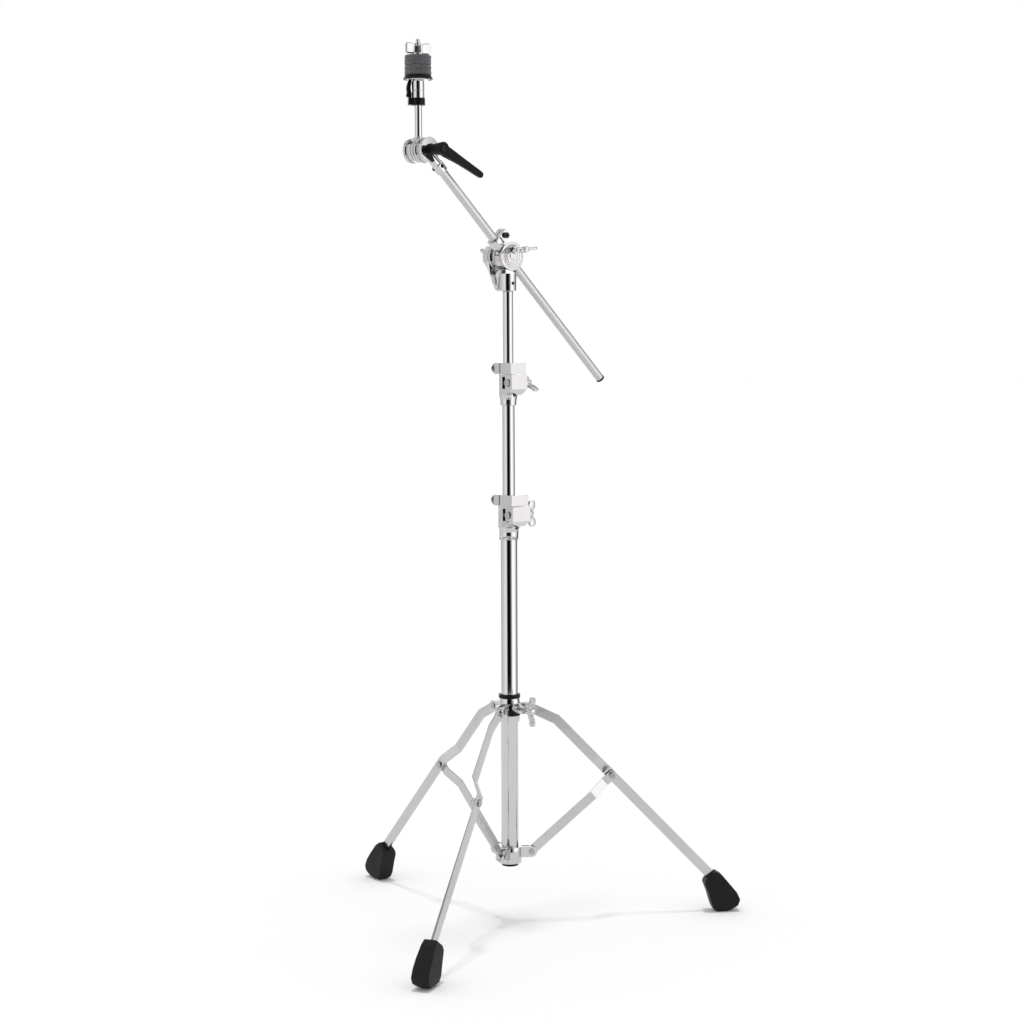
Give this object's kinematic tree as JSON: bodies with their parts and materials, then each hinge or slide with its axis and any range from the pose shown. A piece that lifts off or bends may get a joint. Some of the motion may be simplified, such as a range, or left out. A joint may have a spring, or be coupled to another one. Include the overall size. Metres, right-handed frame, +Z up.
{
  "type": "cymbal boom stand",
  "caption": "Chrome double-braced tripod stand with telescopic tubes and a tilting boom that carries a cymbal seat with felts and a wing nut.",
  "frame": {"origin": "on the main tube's axis, at the level of the floor that the rubber feet stand on", "axes": "+Z up along the main tube; +X to the right and +Y to the back, so the boom's cymbal end points to -X and -Y"},
  "size_m": [0.5814, 0.6102, 1.276],
  "materials": {
    "chrome_tube": "polished chrome plate on drawn steel tube",
    "chrome_casting": "polished chrome plate on zinc die casting",
    "chrome_wing": "polished chrome plate on cast wing screws",
    "chrome_strip": "polished chrome plate on flat steel strip",
    "zinc_screw": "zinc-plated steel",
    "black_screw": "black oxide steel",
    "black_nylon": "moulded black nylon",
    "black_lever": "glass-filled black nylon with a fine grain",
    "felt": "pressed dark grey wool felt",
    "rubber": "moulded black rubber"
  },
  "bodies": {
    "base": {"base_tube": "chrome_tube", "base_plug": "black_nylon", "leg_bracket": "chrome_casting", "lower_clamp": "chrome_casting", "lower_clamp_bolt": "zinc_screw", "lower_bushing": "black_nylon", "bracket_pin_1": "zinc_screw", "bracket_pin_2": "zinc_screw", "bracket_pin_3": "zinc_screw"},
    "brace_1": {"brace_1": "chrome_strip"},
    "brace_2": {"brace_2": "chrome_strip"},
    "brace_3": {"brace_3": "chrome_strip"},
    "leg_1": {"leg_1": "chrome_strip", "foot_1": "rubber", "knee_pin_1": "zinc_screw"},
    "leg_2": {"leg_2": "chrome_strip", "foot_2": "rubber", "knee_pin_2": "zinc_screw"},
    "leg_3": {"leg_3": "chrome_strip", "foot_3": "rubber", "knee_pin_3": "zinc_screw"},
    "collar": {"collar": "chrome_casting", "collar_liner": "black_nylon", "hip_pin_1": "zinc_screw", "hip_pin_2": "zinc_screw", "hip_pin_3": "zinc_screw"},
    "collar_screw": {"collar_screw": "chrome_wing"},
    "lower_clamp_wing": {"lower_clamp_wing": "chrome_wing"},
    "mid": {"mid_tube": "chrome_tube", "lower_lock": "chrome_casting", "lower_lock_screw": "zinc_screw", "upper_clamp": "chrome_casting", "upper_clamp_bolt": "zinc_screw", "upper_bushing": "black_nylon"},
    "upper_clamp_wing": {"upper_clamp_wing": "chrome_wing"},
    "upper": {"upper_tube": "chrome_tube", "upper_lock": "chrome_casting", "upper_lock_screw": "zinc_screw", "tilter_socket": "chrome_casting"},
    "tilter": {"tilter_drum": "chrome_casting", "clamp_disc": "chrome_casting", "tilter_bolt": "zinc_screw"},
    "tilter_wing": {"tilter_wing": "chrome_wing"},
    "boom_screw": {"boom_screw": "chrome_wing"},
    "boom": {"boom_tube": "chrome_tube", "boom_cap": "black_nylon", "boom_lock": "chrome_casting", "boom_lock_screw": "black_screw", "head_ferrule": "chrome_casting", "head_bolt": "zinc_screw"},
    "head": {"head_half": "chrome_casting", "cymbal_rod": "chrome_tube", "sleeve_base": "black_nylon", "release_tab": "black_nylon", "cymbal_sleeve": "chrome_casting", "seat_cup": "black_nylon", "felt_lower": "felt", "felt_upper": "felt"},
    "head_lever": {"head_lever": "black_lever"},
    "wing_nut": {"wing_nut": "chrome_wing"}
  },
  "joints": [
    {"name": "fold", "type": "hinge", "parent": "base", "child": "brace_1", "pos_m": [0.03123, 0.00411, 0.1059], "axis": [0.1305, -0.9914, 0], "range_deg": [0, 38]},
    {"name": "knee_1", "type": "hinge", "parent": "brace_1", "child": "leg_1", "pos_m": [0.15338, 0.02019, 0.2131], "axis": [0.1305, -0.9914, 0], "range_deg": [-76, 0]},
    {"name": "hip_1", "type": "hinge", "parent": "leg_1", "child": "collar", "pos_m": [0.03123, 0.00411, 0.3203], "axis": [0.1305, -0.9914, 0], "range_deg": [0, 38]},
    {"name": "hip_2", "type": "hinge", "parent": "collar", "child": "leg_2", "pos_m": [-0.01918, 0.02499, 0.3203], "axis": [0.7934, 0.6088, 0], "range_deg": [-38, 0]},
    {"name": "hip_3", "type": "hinge", "parent": "collar", "child": "leg_3", "pos_m": [-0.01205, -0.0291, 0.3203], "axis": [-0.9239, 0.3827, 0], "range_deg": [-38, 0]},
    {"name": "brace_2_fold", "type": "hinge", "parent": "base", "child": "brace_2", "pos_m": [-0.01918, 0.02499, 0.1059], "axis": [0.7934, 0.6088, 0], "range_deg": [0, 38]},
    {"name": "brace_3_fold", "type": "hinge", "parent": "base", "child": "brace_3", "pos_m": [-0.01205, -0.0291, 0.1059], "axis": [-0.9239, 0.3827, 0], "range_deg": [0, 38]},
    {"name": "collar_screw_turn", "type": "hinge", "parent": "collar", "child": "collar_screw", "pos_m": [0.02435, -0.03173, 0.3223], "axis": [0.6088, -0.7934, 0], "continuous": true},
    {"name": "lower_wing_turn", "type": "hinge", "parent": "base", "child": "lower_clamp_wing", "pos_m": [0.02879, 0.00458, 0.6065], "axis": [0.766, 0.6428, 0], "continuous": true},
    {"name": "mid_slide", "type": "slide", "parent": "base", "child": "mid", "axis": [0, 0, 1], "range_m": [0, 0.19]},
    {"name": "upper_wing_turn", "type": "hinge", "parent": "mid", "child": "upper_clamp_wing", "pos_m": [0.02534, 0.00403, 0.7975], "axis": [0.766, 0.6428, 0], "continuous": true},
    {"name": "upper_slide", "type": "slide", "parent": "mid", "child": "upper", "axis": [0, 0, 1], "range_m": [0, 0.17]},
    {"name": "boom_tilt", "type": "hinge", "parent": "upper", "child": "tilter", "pos_m": [0, 0, 0.9795], "axis": [0.6534, -0.757, 0], "range_deg": [-4, 80]},
    {"name": "tilter_wing_turn", "type": "hinge", "parent": "tilter", "child": "tilter_wing", "pos_m": [-0.02614, 0.03028, 0.9795], "axis": [-0.6534, 0.757, 0], "continuous": true},
    {"name": "boom_screw_turn", "type": "hinge", "parent": "tilter", "child": "boom_screw", "pos_m": [0.02263, -0.0201, 0.9883], "axis": [0.6534, -0.757, 0], "continuous": true},
    {"name": "boom_slide", "type": "slide", "parent": "tilter", "child": "boom", "axis": [-0.5432, -0.4688, 0.6965], "range_m": [0, 0.19]},
    {"name": "head_tilt", "type": "hinge", "parent": "boom", "child": "head", "pos_m": [-0.12338, -0.08819, 1.12287], "axis": [0.7547, -0.6561, 0], "range_deg": [-60, 60]},
    {"name": "head_lever_turn", "type": "hinge", "parent": "boom", "child": "head_lever", "pos_m": [-0.09772, -0.1105, 1.12287], "axis": [0.7547, -0.6561, 0], "continuous": true},
    {"name": "wing_nut_turn", "type": "hinge", "parent": "head", "child": "wing_nut", "pos_m": [-0.12338, -0.08819, 1.26], "axis": [0, 0, 1], "continuous": true}
  ],
  "couplings": [
    {"joint": "knee_1", "follows": "fold", "ratio": -2},
    {"joint": "hip_1", "follows": "fold", "ratio": 1},
    {"joint": "hip_2", "follows": "fold", "ratio": -1},
    {"joint": "hip_3", "follows": "fold", "ratio": -1},
    {"joint": "brace_2_fold", "follows": "fold", "ratio": 1},
    {"joint": "brace_3_fold", "follows": "fold", "ratio": 1}
  ]
}
